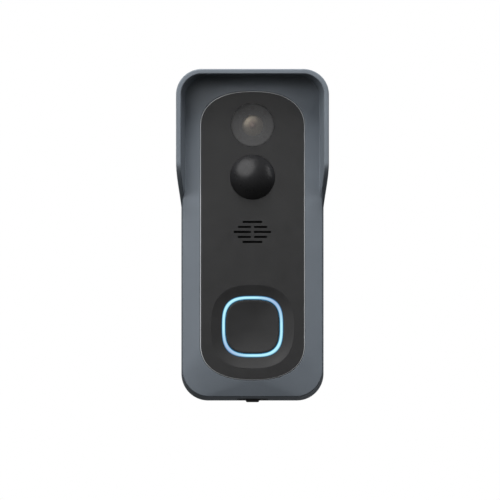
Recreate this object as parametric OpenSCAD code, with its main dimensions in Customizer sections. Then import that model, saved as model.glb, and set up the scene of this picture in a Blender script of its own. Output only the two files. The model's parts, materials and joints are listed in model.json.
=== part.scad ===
// Battery video doorbell with a rain hood, hung on a wall bracket.
// Millimetres. +Z is up, the wall is the plane y = 0 and the front faces -Y.
// A depth is a distance forward from the wall, so a point at depth d has y = -d.
// The origin is on the wall, at the middle of the bracket's back face.

/* [Body] */
// Width of the flat face
face_w = 59; // [58.4:0.2:59.4]
// Width of the body where it is widest, near the wall
rear_w = 61.6; // [61:0.2:62]
// Height of the body's top above the centre, near the wall
body_top = 70; // [69.6:0.2:70.4]
// Depth of the body's bottom below the centre, near the wall
body_bottom = 71.8; // [71.4:0.2:72.4]
// Depth of the face's bottom edge below the centre
face_bottom = 69; // [68.6:0.1:69.2]
// Corner radius of the body
corner_r = 11.6; // [10:0.2:12]
// Wall thickness of both shells
wall_t = 1.8; // [1.6:0.1:2]

/* [Depths from the wall] */
// Depth of the bracket's front face
bracket_t = 2.2; // [2:0.1:2.3]
// Depth of the rear shell's back face
back_d = 2.5; // [2.4:0.1:2.6]
// Depth of the seam between the two shells
seam_d = 16; // [15.8:0.1:16.4]
// Depth of the face beside the panel
face_d = 31; // [30.9:0.1:31.2]
// How far the face slopes back from the panel to its own edge
bezel_drop = 1.25; // [0.6:0.05:1.3]
// Depth of the rain hood's rim
rim_d = 41; // [38:0.5:44]

/* [Rain hood] */
// Width of the hood at its rim
hood_w = 65.2; // [64.6:0.2:66.4]
// Height of the hood's top above the centre, at its rim
hood_top = 70.7; // [70.2:0.1:71.4]
// Thickness of the hood's rim
rim_t = 2.1; // [1.8:0.1:2.4]
// Height where the hood's edge starts to sweep back
sweep_top = 29.5; // [26:0.5:32]
// Height where the sweep has merged with the side of the body
sweep_end = 6.5; // [4:0.5:10]

/* [Front panel] */
// Width of the dark panel
panel_w = 44.8; // [44:0.2:46]
// Height of the panel's top above the centre
panel_top = 61.5; // [61:0.1:62]
// Depth of the panel's bottom below the centre
panel_bottom = 62.2; // [61.8:0.1:62.6]
// Rise of each arched end
arch_h = 15.4; // [14:0.2:17]
// Squareness of the arched ends, 2 is an ellipse
arch_n = 2.33; // [2:0.01:2.6]
// Thickness of the panel
panel_t = 1.3; // [1.2:0.05:1.4]

/* [Camera] */
// Height of the camera's axis above the centre
camera_z = 47; // [46.6:0.1:47.4]
// Radius of the smoked window
window_r = 9.3; // [9:0.05:9.4]
// Radius of the lens barrel
barrel_r = 5.8; // [5.6:0.05:5.9]
// Travel of the infrared-cut filter
filter_travel = 5.4; // [5:0.1:5.4]

/* [Motion sensor] */
// Height of the dome's centre
pir_z = 24.7; // [24.5:0.1:25]
// Radius of the dome at the panel
dome_r = 9.6; // [9.4:0.05:9.7]
// Height of the dome in front of the panel
dome_h = 4.2; // [3.5:0.1:5]

/* [Speaker] */
// Height of the middle row of slots
grille_z = 1.2; // [1:0.1:1.4]
// Distance from one row of slots to the next
slot_pitch = 2.14; // [2.1:0.01:2.2]
// Height of each slot
slot_h = 0.86; // [0.7:0.02:1]

/* [Button] */
// Depth of the button's centre below the body's centre
button_drop = 39.3; // [39:0.1:39.6]
// Half width of the dish round the button
dish_r = 17.85; // [17.5:0.05:18.2]
// Squareness of the dish
dish_n = 2.6; // [2.2:0.1:3]
// How far the middle of the dish lies behind the panel's face
dish_depth = 1.6; // [1.4:0.1:1.7]
// Half width of the lit ring, measured to the middle of its width
ring_r = 12.4; // [12.2:0.05:12.6]
// Width of the lit ring
ring_t = 1.55; // [1.4:0.05:1.6]
// Squareness of the lit ring and the button
ring_n = 3.08; // [2.6:0.02:3.4]
// Travel of the button
button_travel = 0.45; // [0.3:0.05:0.5]

/* [Battery] */
// Radius of each lithium-ion cell
cell_r = 9.2; // [9.1:0.05:9.2]
// Length of each cell
cell_l = 65; // [64:0.5:65]

/* [Mounting] */
// Distance between the two wall screw holes
wall_hole_gap = 80; // [70:1:84]
// Radius of each wall screw hole
wall_hole_r = 2.2; // [1.8:0.1:2.4]
// Travel of the bracket's latch
latch_travel = 1.5; // [1.4:0.1:1.5]

/* [Hidden] */
$fn = 64;
// Enough sides for a shape that hull() will turn into facets
HULL_FN = 40;
// Small overlap that makes a cut come out cleanly
CUT = 0.5;

// Shell
edge_inset = 0.5;
draft_end_d = face_d - 0.7;
foot_d = face_d - bezel_drop;
edge_d = foot_d - 0.7;
plate_t = 2.5;
plate_d = face_d - plate_t;
recess_d = face_d - 1.3;
panel_d = recess_d + 0.2;
panel_face_d = panel_d + panel_t;
back_inner_d = back_d + 1.6;
hood_root_d = 24;
rim_corner_r = 10.9;
hood_inside_r = 9;
hood_inside_top = 68;
// The hood's inside starts below the sweep of its edge
hood_inside_low = -60;
screw_x = 25.6;
screw_heights = [-56, 0, 58];
boss_r = 3.4;
screw_r = 1.2;
screw_head_r = 2.4;

// Bracket and hooks
bracket_half_w = 24;
bracket_low = -62.5;
hook_x = 14;
hook_w = 8;
hook_low = 60.7;
hook_high = 62.7;
hook_front_d = 5.6;
// Half-round bead that the body pivots on
bead_d = 3.3;
bead_r = 0.35;
bracket_r = 8;
slot_low = 58.2;
slot_high = 63.1;
latch_low = -59.8;
latch_high = -48;
latch_window_high = -42;
latch_window_low = -60;
latch_half_w = 5.7;
finger_low = -57.5;
finger_high = -56;

// Camera
sensor_board_d = 10.5;
board_t = 1;
holder_d = sensor_board_d + board_t;
camera_boss_x = 11;
camera_boss_z = 8.5;
track_half = 3.2;
track_d = [13, 13.8];
led_board_d = 25.4;
led_ring_r = 7.6;

// Motion sensor
pir_board_d = 19;
flange_t = 1.2;
pir_boss_x = 14.2;

// Button
button_z = -button_drop;
ring_inner = ring_r - ring_t / 2;
ring_outer = ring_r + ring_t / 2;
cap_gap = 0.18;
cap_back_d = 28.65;
plunger_r = 1.7;
plunger_back_d = 26.55;
plunger_front_d = cap_back_d - 0.05;
switch_half = 3;
switch_front_d = 27.6;

// Boards
main_d = 24;
main_front = main_d + board_t;
main_half_w = 21.8;
main_low = -60;
main_high = 12;
main_screw_x = 19;
main_screw_heights = [-53, 9];
small_screw_r = 0.75;
small_hole_r = 0.9;

// Battery
cell_x = 9.7;
cell_d = 13.6;
cell_low = -60.5;
cell_high = cell_low + cell_l;
tab_t = 0.3;

// Charging port
charge_board_d = 9.2;
socket_half_w = 4.47;
socket_back_d = charge_board_d + board_t;
socket_t = 3.2;
port_floor = -70.1;
port_pad_top = -68.2;
cover_half_w = 6.2;
cover_front_d = 15.4;
cover_low = -71;
cover_t = 0.85;
cover_hinge_d = 7.6;
reset_x = 14;
reset_z = -65;

// Microphone
mic_x = 17;
mic_d = 21;

// Half width, top and bottom of the drafted body at depth d
function body_share(d) = (d - back_d) / (draft_end_d - back_d);
function body_half(d) = rear_w / 2 - body_share(d) * (rear_w / 2 - face_w / 2 - edge_inset);
function body_low(d) = -body_bottom + body_share(d) * (body_bottom - face_bottom - 0.3);
function body_high(d) = body_top - body_share(d) * 0.6;

// Points of a squared ellipse with half axes a and b
function squircle(a, b, n, steps = 96) = [
    for (i = [0 : steps - 1])
        let (t = 360 * (i + 0.5) / steps)
        [a * sign(cos(t)) * pow(abs(cos(t)), 2 / n),
         b * sign(sin(t)) * pow(abs(sin(t)), 2 / n)]
];

// Points of one arched end of the panel, from right to left
function arch(half_w, rise, n, steps = 48) = [
    for (i = [0 : steps])
        let (t = 180 * i / steps)
        [half_w * sign(cos(t)) * pow(abs(cos(t)), 2 / n), rise * pow(abs(sin(t)), 2 / n)]
];

function smooth(t) = t * t * (3 - 2 * t);

// A point on a smooth curve through four points, a share t from b to c
function blend4(a, b, c, d, t) =
    0.5 * (2 * b + (c - a) * t + (2 * a - 5 * b + 4 * c - d) * t * t
           + (3 * b - a - 3 * c + d) * t * t * t);

// A smooth path through the points p, with the ends repeated
function smooth_path(p, steps = 5) = concat(
    [for (i = [0 : len(p) - 2], s = [0 : steps - 1])
        blend4(p[max(i - 1, 0)], p[i], p[i + 1], p[min(i + 2, len(p) - 1)], s / steps)],
    [p[len(p) - 1]]
);

function unit(v) = v / norm(v);

// Direction of the path p at its point i
function path_way(p, i) = unit(p[min(i + 1, len(p) - 1)] - p[max(i - 1, 0)]);

// A round wire of radius r along the path p
module wire(p, r, sides = 8, up = [0, 0, 1]) {
    rings = [
        for (i = [0 : len(p) - 1])
            let (way = path_way(p, i), u = unit(cross(way, up)), v = cross(way, u))
            for (k = [0 : sides - 1])
                p[i] + r * (cos(360 * k / sides) * u + sin(360 * k / sides) * v)
    ];
    last = (len(p) - 1) * sides;
    faces = concat(
        [[for (k = [sides - 1 : -1 : 0]) k]],
        [[for (k = [0 : sides - 1]) last + k]],
        [for (i = [0 : len(p) - 2], k = [0 : sides - 1])
            let (a = i * sides + k, b = i * sides + (k + 1) % sides)
            [a, b, b + sides, a + sides]]
    );
    polyhedron(rings, faces, convexity = 6);
}

// A point from its place across, its depth and its height
function at(x, d, z) = [x, -d, z];

// A flat shape drawn in X and Z, filled from depth d0 to depth d1
module layer(d0, d1) {
    rotate([90, 0, 0]) translate([0, 0, d0]) linear_extrude(d1 - d0) children();
}

// A round bar along the depth
module bar(x, z, r, d0, d1) {
    translate([x, -d0, z]) rotate([90, 0, 0]) cylinder(r = r, h = d1 - d0);
}

// A tube along the depth
module sleeve(x, z, r0, r1, d0, d1) {
    difference() {
        bar(x, z, r1, d0, d1);
        bar(x, z, r0, d0 - CUT, d1 + CUT);
    }
}

// A round bar of length w from side to side, with its middle at x
module across(x, w, r, d, z) {
    translate([x - w / 2, -d, z]) rotate([0, 90, 0]) cylinder(r = r, h = w);
}

// A box from its ranges across, in depth and in height
module block(x, d, z) {
    translate([x[0], -d[1], z[0]]) cube([x[1] - x[0], d[1] - d[0], z[1] - z[0]]);
}

// A rectangle with round corners
module rounded(half_w, low, high, r) {
    translate([-half_w + r, low]) square([2 * (half_w - r), high - low]);
    translate([-half_w, low + r]) square([2 * half_w, high - low - 2 * r]);
    for (x = [r - half_w, half_w - r], z = [low + r, high - r]) translate([x, z]) circle(r);
}

// The body's outline at depth d, drawn in by inset
module body_outline(d, inset = 0) {
    rounded(body_half(d) - inset, body_low(d) + inset, body_high(d) - inset, corner_r - inset);
}

// The dark panel's outline, grown by grow
module panel_outline(grow = 0) {
    half_w = panel_w / 2 + grow;
    top = [for (p = arch(half_w, arch_h + grow, arch_n)) [p[0], panel_top - arch_h + p[1]]];
    low = [for (p = arch(half_w, arch_h + grow, arch_n)) [-p[0], arch_h - panel_bottom - p[1]]];
    polygon(concat(top, low));
}

// The same for each side
module both_sides() {
    children();
    mirror([1, 0, 0]) children();
}

// Places of the housing screws
module at_screws() {
    for (x = [-screw_x, screw_x], z = screw_heights) translate([x, 0, z]) children();
}

module at_camera_screws() {
    for (x = [-camera_boss_x, camera_boss_x], z = [-camera_boss_z, camera_boss_z])
        translate([x, 0, camera_z + z]) children();
}

module at_main_screws() {
    for (x = [-main_screw_x, main_screw_x], z = main_screw_heights) translate([x, 0, z]) children();
}

// Slots of the speaker grille, from the top row to the bottom row
module grille_slots(d0, d1) {
    // Each entry is a slot's middle and length, by the row's distance from the middle row
    rows = [
        [[-4.35, 7.4], [4.3, 7.4]],
        [[-3.45, 5.7], [3.45, 5.7]],
        [[0, 8.5]]
    ];
    for (row = [-2 : 2], slot = rows[abs(row)]) {
        straight = slot[1] - slot_h;
        z = grille_z + row * slot_pitch;
        block([slot[0] - straight / 2, slot[0] + straight / 2], [d0, d1],
              [z - slot_h / 2, z + slot_h / 2]);
        for (end = [-1, 1]) bar(slot[0] + end * straight / 2, z, slot_h / 2, d0, d1);
    }
}

// A squared-round ring or disc at the button, half width a
module button_shape(a, n = ring_n) {
    translate([0, button_z]) polygon(squircle(a, a, n));
}

// Depth of the dish's surface at half width r
function dish_d(r) = panel_face_d - dish_depth * (1 - pow(r / dish_r, 2));

// The shallow bowl that the dish and the button share, filled forward of its surface
module dish_bowl(from_r, steps) {
    for (k = [0 : steps - 1]) {
        inner = from_r + (dish_r - from_r) * k / steps;
        outer = from_r + (dish_r - from_r) * (k + 1) / steps;
        translate([0, -dish_d(inner), button_z])
            rotate([90, 0, 0])
            linear_extrude(dish_d(outer) - dish_d(inner) + 0.001, scale = outer / inner)
            polygon(squircle(inner, inner, dish_n));
    }
    translate([0, -panel_face_d, button_z])
        rotate([90, 0, 0])
        linear_extrude(CUT)
        polygon(squircle(dish_r, dish_r, dish_n));
}

// ---- Bracket ----

// Plate that is screwed to the wall, with two hooks at its top
module wall_bracket() {
    color("dimgray") {
        difference() {
            layer(0, bracket_t) rounded(bracket_half_w, bracket_low, hook_high, bracket_r);
            for (z = [-wall_hole_gap / 2, wall_hole_gap / 2])
                bar(0, z, wall_hole_r, -CUT, bracket_t + CUT);
            block([-6, 6], [-CUT, 1.4], [latch_window_low, latch_window_high]);
            block([-4.8, 4.8], [-CUT, bracket_t + CUT], [latch_window_low, latch_window_high]);
            // Hole for the release pin
            translate([0, -0.9, bracket_low - CUT]) cylinder(r = 0.6, h = 4);
        }
        both_sides() {
            block([hook_x - hook_w / 2, hook_x + hook_w / 2], [bracket_t - CUT, hook_front_d],
                  [hook_low, hook_high]);
            block([hook_x - hook_w / 2, hook_x + hook_w / 2], [hook_front_d - 1.2, hook_front_d],
                  [hook_low, 65]);
            across(hook_x, hook_w, bead_r, bead_d, hook_high);
        }
    }
}

// Sliding catch that holds the foot of the body to the bracket
module bracket_latch() {
    color("black") {
        block([-latch_half_w, latch_half_w], [0.2, 1.2], [latch_low, latch_high]);
        block([-4.4, 4.4], [1.1, bracket_t], [latch_low, latch_high]);
        block([-3, 3], [bracket_t - 0.1, 5.4], [finger_low, finger_high]);
        block([-3, 3], [4.4, 5.4], [finger_low - 1.3, finger_high]);
    }
}

// Return spring of the latch
module latch_spring() {
    turns = 5;
    steps = 12;
    length = latch_window_high - latch_high;
    coil = [
        for (i = [0 : turns * steps])
            let (t = 360 * i / steps)
            [0.75 * cos(t), -1.15 + 0.75 * sin(t),
             latch_high + 0.3 + (length - 0.6) * i / (turns * steps)]
    ];
    color("silver") wire(coil, 0.15, 6);
}

// ---- Shells ----

// Face, front half of the side walls and the rain hood, one moulding
module front_housing() {
    color("slategray") {
        difference() {
            union() {
                // Drafted body with a small rounded edge round the face
                hull() {
                    layer(seam_d, seam_d + 0.01) body_outline(seam_d, $fn = HULL_FN);
                    layer(edge_d - 0.01, edge_d) body_outline(edge_d, $fn = HULL_FN);
                    layer(foot_d - 0.01, foot_d) body_outline(edge_d, edge_inset, $fn = HULL_FN);
                }
                // Face, rising from its edge to the panel
                hull() {
                    layer(foot_d - 1, foot_d) body_outline(edge_d, edge_inset, $fn = HULL_FN);
                    layer(face_d - 0.01, face_d) panel_outline(0.5);
                }
                hood();
            }
            // Inside of the body
            hull() {
                layer(seam_d - 0.01, seam_d) body_outline(seam_d, wall_t, $fn = HULL_FN);
                layer(plate_d - 0.01, plate_d) body_outline(plate_d, wall_t, $fn = HULL_FN);
            }
            // Recess of the panel and the openings behind it
            layer(recess_d, face_d + CUT) panel_outline(0.1);
            bar(0, camera_z, 8.7, plate_d - CUT, face_d);
            bar(0, pir_z, dome_r + 0.1, plate_d - CUT, face_d);
            block([-8.8, 8.8], [plate_d - CUT, face_d], [grille_z - 5.6, grille_z + 5.6]);
            layer(plate_d - CUT, face_d) button_shape(ring_outer + 0.4);
            // Port of the microphone
            translate([mic_x, -mic_d, -72]) cylinder(r = 1.25, h = 5);
        }
        at_screws() sleeve(0, 0, screw_r + 0.02, boss_r, seam_d, plate_d + 0.2);
        translate([0, 0, pir_z]) both_sides()
            sleeve(pir_boss_x, 0, small_screw_r + 0.02, 2.2, pir_board_d + board_t, plate_d + 0.2);
        at_main_screws() sleeve(0, 0, small_screw_r + 0.02, 2.2, main_front, plate_d + 0.2);
    }
}

// Rain hood, flared forward, with its edge swept back to the sides
module hood() {
    hood_half = hood_w / 2;
    difference() {
        intersection() {
            hull() {
                layer(hood_root_d, hood_root_d + 0.01)
                    body_outline(hood_root_d, $fn = HULL_FN);
                layer(rim_d - 0.01, rim_d)
                    rounded(hood_half, body_low(hood_root_d), hood_top, rim_corner_r,
                            $fn = HULL_FN);
            }
            hood_side();
        }
        hull() {
            layer(foot_d, foot_d + 0.01)
                rounded(face_w / 2 - 0.5, hood_inside_low, hood_inside_top, hood_inside_r,
                        $fn = HULL_FN);
            layer(rim_d + 0.5, rim_d + 0.51)
                rounded(hood_half - rim_t, hood_inside_low, hood_top - rim_t - 0.05,
                        hood_inside_r, $fn = HULL_FN);
        }
    }
}

// Side view of the hood, drawn in depth and height, filled across
module hood_side() {
    sweep = [
        for (i = [0 : 24])
            let (t = i / 24)
            [hood_root_d + (rim_d - hood_root_d) * smooth(t), sweep_end + (sweep_top - sweep_end) * t]
    ];
    outline = concat(sweep, [[rim_d, body_top + 5], [hood_root_d, body_top + 5]]);
    rotate([90, 0, -90]) translate([0, 0, -40]) linear_extrude(80) polygon(outline);
}

// Back half of the body, with the slots for the hooks and the latch
module rear_housing() {
    color("slategray") {
        difference() {
            union() {
                difference() {
                    hull() {
                        layer(back_d, back_d + 0.01) body_outline(back_d, 1, $fn = HULL_FN);
                        layer(back_d + 1, back_d + 1.01) body_outline(back_d + 1, $fn = HULL_FN);
                        layer(seam_d - 0.01, seam_d) body_outline(seam_d, $fn = HULL_FN);
                    }
                    hull() {
                        layer(back_inner_d, back_inner_d + 0.01)
                            body_outline(back_inner_d, wall_t, $fn = HULL_FN);
                        layer(seam_d, seam_d + 0.01) body_outline(seam_d, wall_t, $fn = HULL_FN);
                    }
                }
                at_screws() bar(0, 0, boss_r, back_d + 1, seam_d);
                at_camera_screws() bar(0, 0, 2.2, back_inner_d - CUT, sensor_board_d);
                block([-7.5, 7.5], [6, 15.9], [-70.5, port_pad_top]);
            }
            // Groove of the weather seal
            layer(seam_d - 0.5, seam_d + CUT) gasket_outline();
            at_screws() bar(0, 0, screw_r + 0.15, back_d - CUT, seam_d + CUT);
            at_screws() bar(0, 0, screw_head_r + 0.2, back_d - CUT, back_d + 2.4);
            at_camera_screws() bar(0, 0, small_screw_r + 0.02, 5.5, sensor_board_d + CUT);
            // Slots for the bracket's hooks and latch
            both_sides()
                block([hook_x - hook_w / 2 - 0.3, hook_x + hook_w / 2 + 0.3],
                      [back_d - CUT, back_inner_d + CUT], [slot_low, slot_high]);
            block([-3.5, 3.5], [back_d - CUT, back_inner_d + CUT],
                  [finger_low - 0.2, finger_high + latch_travel + 0.5]);
            // Bore of the reset button
            bar(reset_x, reset_z, 1.65, back_d - CUT, back_inner_d + CUT);
            // Pocket of the port cover and the port itself
            block([-6.5, 6.5], [7, 15.8], [-74, port_floor]);
            block([-4.75, 4.75], [10.2, 13.5], [-74, port_pad_top + CUT]);
        }
    }
}

// Path of the weather seal between the shells
module gasket_outline(gap = 0) {
    difference() {
        body_outline(seam_d, 0.5 + gap);
        body_outline(seam_d, 1.3 - gap);
    }
}

// Silicone weather seal between the shells
module housing_gasket() {
    color("black") layer(seam_d - 0.5, seam_d) gasket_outline(0.02);
}

// Six screws that hold the shells together, put in from the back
module housing_screws() {
    color("silver") at_screws() {
        difference() {
            bar(0, 0, screw_head_r, back_d + 0.5, back_d + 2.4);
            layer(back_d, back_d + 1.3) circle(1.1, $fn = 6);
        }
        bar(0, 0, screw_r, back_d + 2.4, 22);
    }
}

// Small screws of the boards
module board_screws() {
    color("silver") {
        at_camera_screws() small_screw(holder_d, 1, 5.4);
        translate([0, 0, pir_z])
            for (x = [-pir_boss_x, pir_boss_x])
                translate([x, 0, 0]) small_screw(pir_board_d, -1, 5.4);
        at_main_screws() small_screw(main_d, -1, 4);
    }
}

// A small screw whose head sits on depth d, with its head on the side that way names
module small_screw(d, way, length) {
    head = [min(d, d + way * 1.1), max(d, d + way * 1.1)];
    shank = [min(d, d - way * length), max(d, d - way * length)];
    difference() {
        bar(0, 0, 1.5, head[0], head[1]);
        block([-1, 1], way > 0 ? [head[1] - 0.4, head[1] + CUT] : [head[0] - CUT, head[0] + 0.4],
              [-0.2, 0.2]);
    }
    bar(0, 0, small_screw_r, shank[0], shank[1]);
}

// ---- Front panel ----

// Near-black panel with the window bore, the dome bore, the slots and the dish
module front_panel() {
    color([0.06, 0.06, 0.065]) difference() {
        layer(panel_d, panel_face_d) panel_outline();
        bar(0, camera_z, window_r + 0.05, panel_d - CUT, panel_face_d + CUT);
        bar(0, pir_z, dome_r + 0.1, panel_d - CUT, panel_face_d + CUT);
        grille_slots(panel_d - CUT, panel_face_d + CUT);
        dish_bowl(ring_outer, 3);
        layer(panel_d - CUT, panel_face_d + CUT) button_shape(ring_outer + 0.03);
    }
}

// Double-sided tape behind the panel
module panel_tape() {
    color("dimgray") layer(recess_d, panel_d) difference() {
        panel_outline(-0.8);
        translate([0, camera_z]) circle(window_r + 0.2);
        translate([0, pir_z]) circle(dome_r + 0.4);
        translate([-10.2, grille_z - 6.6]) square([20.4, 13.2]);
        button_shape(ring_outer + 0.8);
    }
}

// ---- Camera ----

// Smoked window over the camera
module lens_window() {
    color([0.12, 0.12, 0.13]) bar(0, camera_z, window_r, recess_d + 0.6, panel_face_d - 0.05);
}

// Foam ring behind the window
module lens_window_seal() {
    color("black") sleeve(0, camera_z, 8.7, window_r, recess_d, recess_d + 0.6);
}

// Threaded barrel that carries the glass
module lens_barrel() {
    color([0.05, 0.05, 0.05]) translate([0, 0, camera_z]) {
        difference() {
            bar(0, 0, barrel_r, 15.4, 29.3);
            bar(0, 0, 4.7, 26.6, 30);
            bar(0, 0, 3.7, 15, 27);
        }
    }
}

// Front lens with its brown coating
module lens_front_element() {
    color([0.45, 0.4, 0.33]) translate([0, 0, camera_z]) intersection() {
        bar(0, 0, 4.68, 26.6, 30);
        translate([0, -(29.1 - 9.5), 0]) sphere(9.5);
    }
}

// Rear lens, close to the filter
module lens_rear_element() {
    color([0.4, 0.42, 0.4]) translate([0, 0, camera_z]) intersection() {
        bar(0, 0, 3.68, 16, 19);
        translate([0, -(16.2 + 6), 0]) sphere(6);
    }
}

// Holder of the barrel, with the track of the infrared-cut filter
module lens_holder() {
    color([0.1, 0.1, 0.1]) translate([0, 0, camera_z]) difference() {
        block([-7.5, 9.2], [holder_d, 20], [-7.5, 7.5]);
        bar(0, 0, barrel_r + 0.03, 15.4, 20.5);
        bar(0, 0, 3.1, 12, 16);
        block([-4.5, 4.5], [holder_d - CUT, 12.5], [-4, 4]);
        block([-track_half, filter_travel + track_half], track_d, [-track_half, track_half]);
        block([-0.9, filter_travel + 0.9], track_d, [3, 7.5 + CUT]);
    }
}

// Infrared-cut filter in its carrier, over the sensor by day
module ir_cut_filter() {
    color([0.3, 0.55, 0.6]) translate([0, 0, camera_z]) {
        block([-2.8, 2.8], [13.2, 13.6], [-2.8, 2.8]);
        block([-0.5, 0.5], [13.2, 13.6], [2.7, 7.3]);
    }
}

// Coil that moves the filter
module ir_cut_actuator() {
    color([0.72, 0.45, 0.2]) translate([0, 0, camera_z]) difference() {
        block([-2, 8], [11.7, 15.4], [7.6, 11.2]);
        block([-0.9, filter_travel + 0.9], track_d, [7, 9]);
    }
}

// Image sensor
module image_sensor() {
    color([0.15, 0.2, 0.22])
        block([-3.8, 3.8], [holder_d, holder_d + 0.8], [camera_z - 3.2, camera_z + 3.2]);
}

// Board of the camera
module camera_board() {
    color([0.05, 0.25, 0.12]) difference() {
        block([-13.2, 13.2], [sensor_board_d, holder_d], [camera_z - 11, camera_z + 11]);
        at_camera_screws() bar(0, 0, small_hole_r, sensor_board_d - CUT, holder_d + CUT);
    }
}

// Flat cable from the camera board to the main board
module camera_ribbon() {
    t = 0.25;
    drop = [
        for (i = [0 : 16])
            let (s = i / 16)
            [holder_d + 0.1 + (main_d - 0.4 - t - holder_d) * smooth(s), 18 - 11 * s]
    ];
    front = concat([[holder_d + 0.1, camera_z - 9]], drop);
    back = [for (i = [len(front) - 1 : -1 : 0]) [front[i][0] + t, front[i][1]]];
    color("orange") rotate([90, 0, -90]) translate([0, 0, -4]) linear_extrude(8)
        polygon(concat(front, back));
}

// Rubber sleeve that keeps infrared light out of the lens
module ir_baffle() {
    color([0.03, 0.03, 0.03])
        sleeve(0, camera_z, barrel_r + 0.02, 6.5, 24.5, recess_d + 0.5);
}

// Ring board of the infrared lamps
module ir_led_board() {
    color([0.04, 0.04, 0.05])
        sleeve(0, camera_z, 6.6, 10.5, led_board_d, led_board_d + 0.8);
}

// Four infrared lamps round the lens
module ir_leds() {
    color([0.25, 0.1, 0.12]) translate([0, 0, camera_z])
        for (a = [45 : 90 : 315]) {
            x = led_ring_r * cos(a);
            z = led_ring_r * sin(a);
            block([x - 0.8, x + 0.8], [led_board_d + 0.8, led_board_d + 2], [z - 0.8, z + 0.8]);
            bar(x, z, 0.6, led_board_d + 1.9, led_board_d + 2.3);
        }
}

// Light sensor that tells day from night
module light_sensor() {
    color([0.7, 0.7, 0.65])
        block([-0.8, 0.8], [led_board_d + 0.8, led_board_d + 1.5],
              [camera_z + led_ring_r - 0.8, camera_z + led_ring_r + 0.8]);
}

// ---- Motion sensor ----

// Domed lens of the motion sensor, with the flange that holds it
module pir_lens() {
    wall = 0.9;
    ball_r = (dome_r * dome_r + dome_h * dome_h) / (2 * dome_h);
    ball_d = panel_face_d + dome_h - ball_r;
    flange_d = plate_d - flange_t;
    color([0.03, 0.03, 0.03]) translate([0, 0, pir_z]) {
        difference() {
            intersection() {
                bar(0, 0, dome_r, flange_d, panel_face_d + dome_h + 1);
                translate([0, -ball_d, 0]) sphere(ball_r);
            }
            intersection() {
                bar(0, 0, dome_r - wall, flange_d - CUT, panel_face_d + dome_h + 1);
                translate([0, -ball_d, 0]) sphere(ball_r - wall);
            }
        }
        sleeve(0, 0, dome_r - wall / 2, 11, flange_d, plate_d);
    }
}

// Spacer that clamps the dome's flange and sets its distance from the sensor
module pir_retainer() {
    color([0.1, 0.1, 0.1])
        sleeve(0, pir_z, dome_r, 11, pir_board_d + board_t, plate_d - flange_t);
}

// Motion sensor in its metal can
module pir_sensor() {
    color("silver") translate([0, 0, pir_z]) {
        base = pir_board_d + board_t;
        bar(0, 0, 4.8, base, base + 0.6);
        bar(0, 0, 4.2, base, base + 4);
    }
}

// Board of the motion sensor
module pir_board() {
    color([0.05, 0.25, 0.12]) translate([0, 0, pir_z]) difference() {
        union() {
            bar(0, 0, 11.4, pir_board_d, pir_board_d + board_t);
            block([-16.4, 16.4], [pir_board_d, pir_board_d + board_t], [-2.4, 2.4]);
        }
        for (x = [-pir_boss_x, pir_boss_x])
            bar(x, 0, small_hole_r, pir_board_d - CUT, pir_board_d + board_t + CUT);
    }
}

// Flat cable from the motion sensor's board to the main board
module pir_ribbon() {
    color("orange") {
        block([5, 9], [pir_board_d - 0.3, pir_board_d], [12.6, 20]);
        block([5, 9], [pir_board_d - 0.3, main_d - 0.1], [12.6, 12.9]);
        block([5, 9], [main_d - 0.35, main_d - 0.1], [8, 12.9]);
    }
}

// ---- Speaker and microphone ----

// Basket of the speaker
module speaker_frame() {
    color([0.12, 0.12, 0.12]) translate([0, 0, grille_z]) difference() {
        block([-10, 10], [main_front + 0.2, 27.9], [-7.2, 7.2]);
        block([-8.8, 8.8], [main_front + 0.8, 28.5], [-6, 6]);
        bar(0, 0, 4.6, main_front, 26);
    }
}

// Magnet and yoke of the speaker
module speaker_magnet() {
    color("silver") bar(0, grille_z, 4.5, main_front + 0.25, main_front + 1.6);
}

// Cone of the speaker
module speaker_cone() {
    color([0.2, 0.2, 0.2]) translate([0, 0, grille_z]) {
        block([-8.7, 8.7], [27.2, 27.4], [-5.9, 5.9]);
        bar(0, 0, 4, 26.8, 27.3);
    }
}

// Foam seal between the speaker and the face
module speaker_gasket() {
    color([0.15, 0.15, 0.15]) translate([0, 0, grille_z]) difference() {
        block([-10, 10], [27.9, plate_d], [-7.2, 7.2]);
        block([-8.9, 8.9], [27.5, plate_d + CUT], [-6.1, 6.1]);
    }
}

// Water-resistant mesh behind the slots
module speaker_mesh() {
    color([0.04, 0.04, 0.04])
        block([-10, 10], [recess_d, recess_d + 0.15], [grille_z - 6.4, grille_z + 6.4]);
}

// Microphone capsule
module microphone() {
    color("silver") translate([mic_x, -mic_d, -67.3]) cylinder(r = 2, h = 1.4);
}

// Rubber boot that seals the microphone to its port
module microphone_boot() {
    color([0.08, 0.08, 0.08]) translate([mic_x, -mic_d, 0]) difference() {
        union() {
            translate([0, 0, -68]) cylinder(r = 3, h = 2.4);
            translate([0, 0, -69.4]) cylinder(r = 1.2, h = 2);
        }
        translate([0, 0, -67.32]) cylinder(r = 2.02, h = 3);
        translate([0, 0, -70]) cylinder(r = 0.5, h = 4);
    }
}

// ---- Button ----

// Dished button that the visitor presses
module button_cap() {
    color([0.07, 0.07, 0.07]) difference() {
        layer(cap_back_d, panel_face_d) button_shape(ring_inner - cap_gap);
        dish_bowl(2, 8);
    }
}

// Light guide round the button
module light_ring() {
    color([0.75, 0.98, 1]) layer(26.2, dish_d(ring_r)) difference() {
        button_shape(ring_outer);
        button_shape(ring_inner);
    }
}

// Eight coloured lamps that light the ring
module ring_leds() {
    color("white") translate([0, 0, button_z])
        for (a = [22.5 : 45 : 337.5]) {
            x = ring_r * cos(a);
            z = ring_r * sin(a);
            block([x - 0.8, x + 0.8], [main_front, main_front + 0.8], [z - 0.8, z + 0.8]);
        }
}

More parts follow.
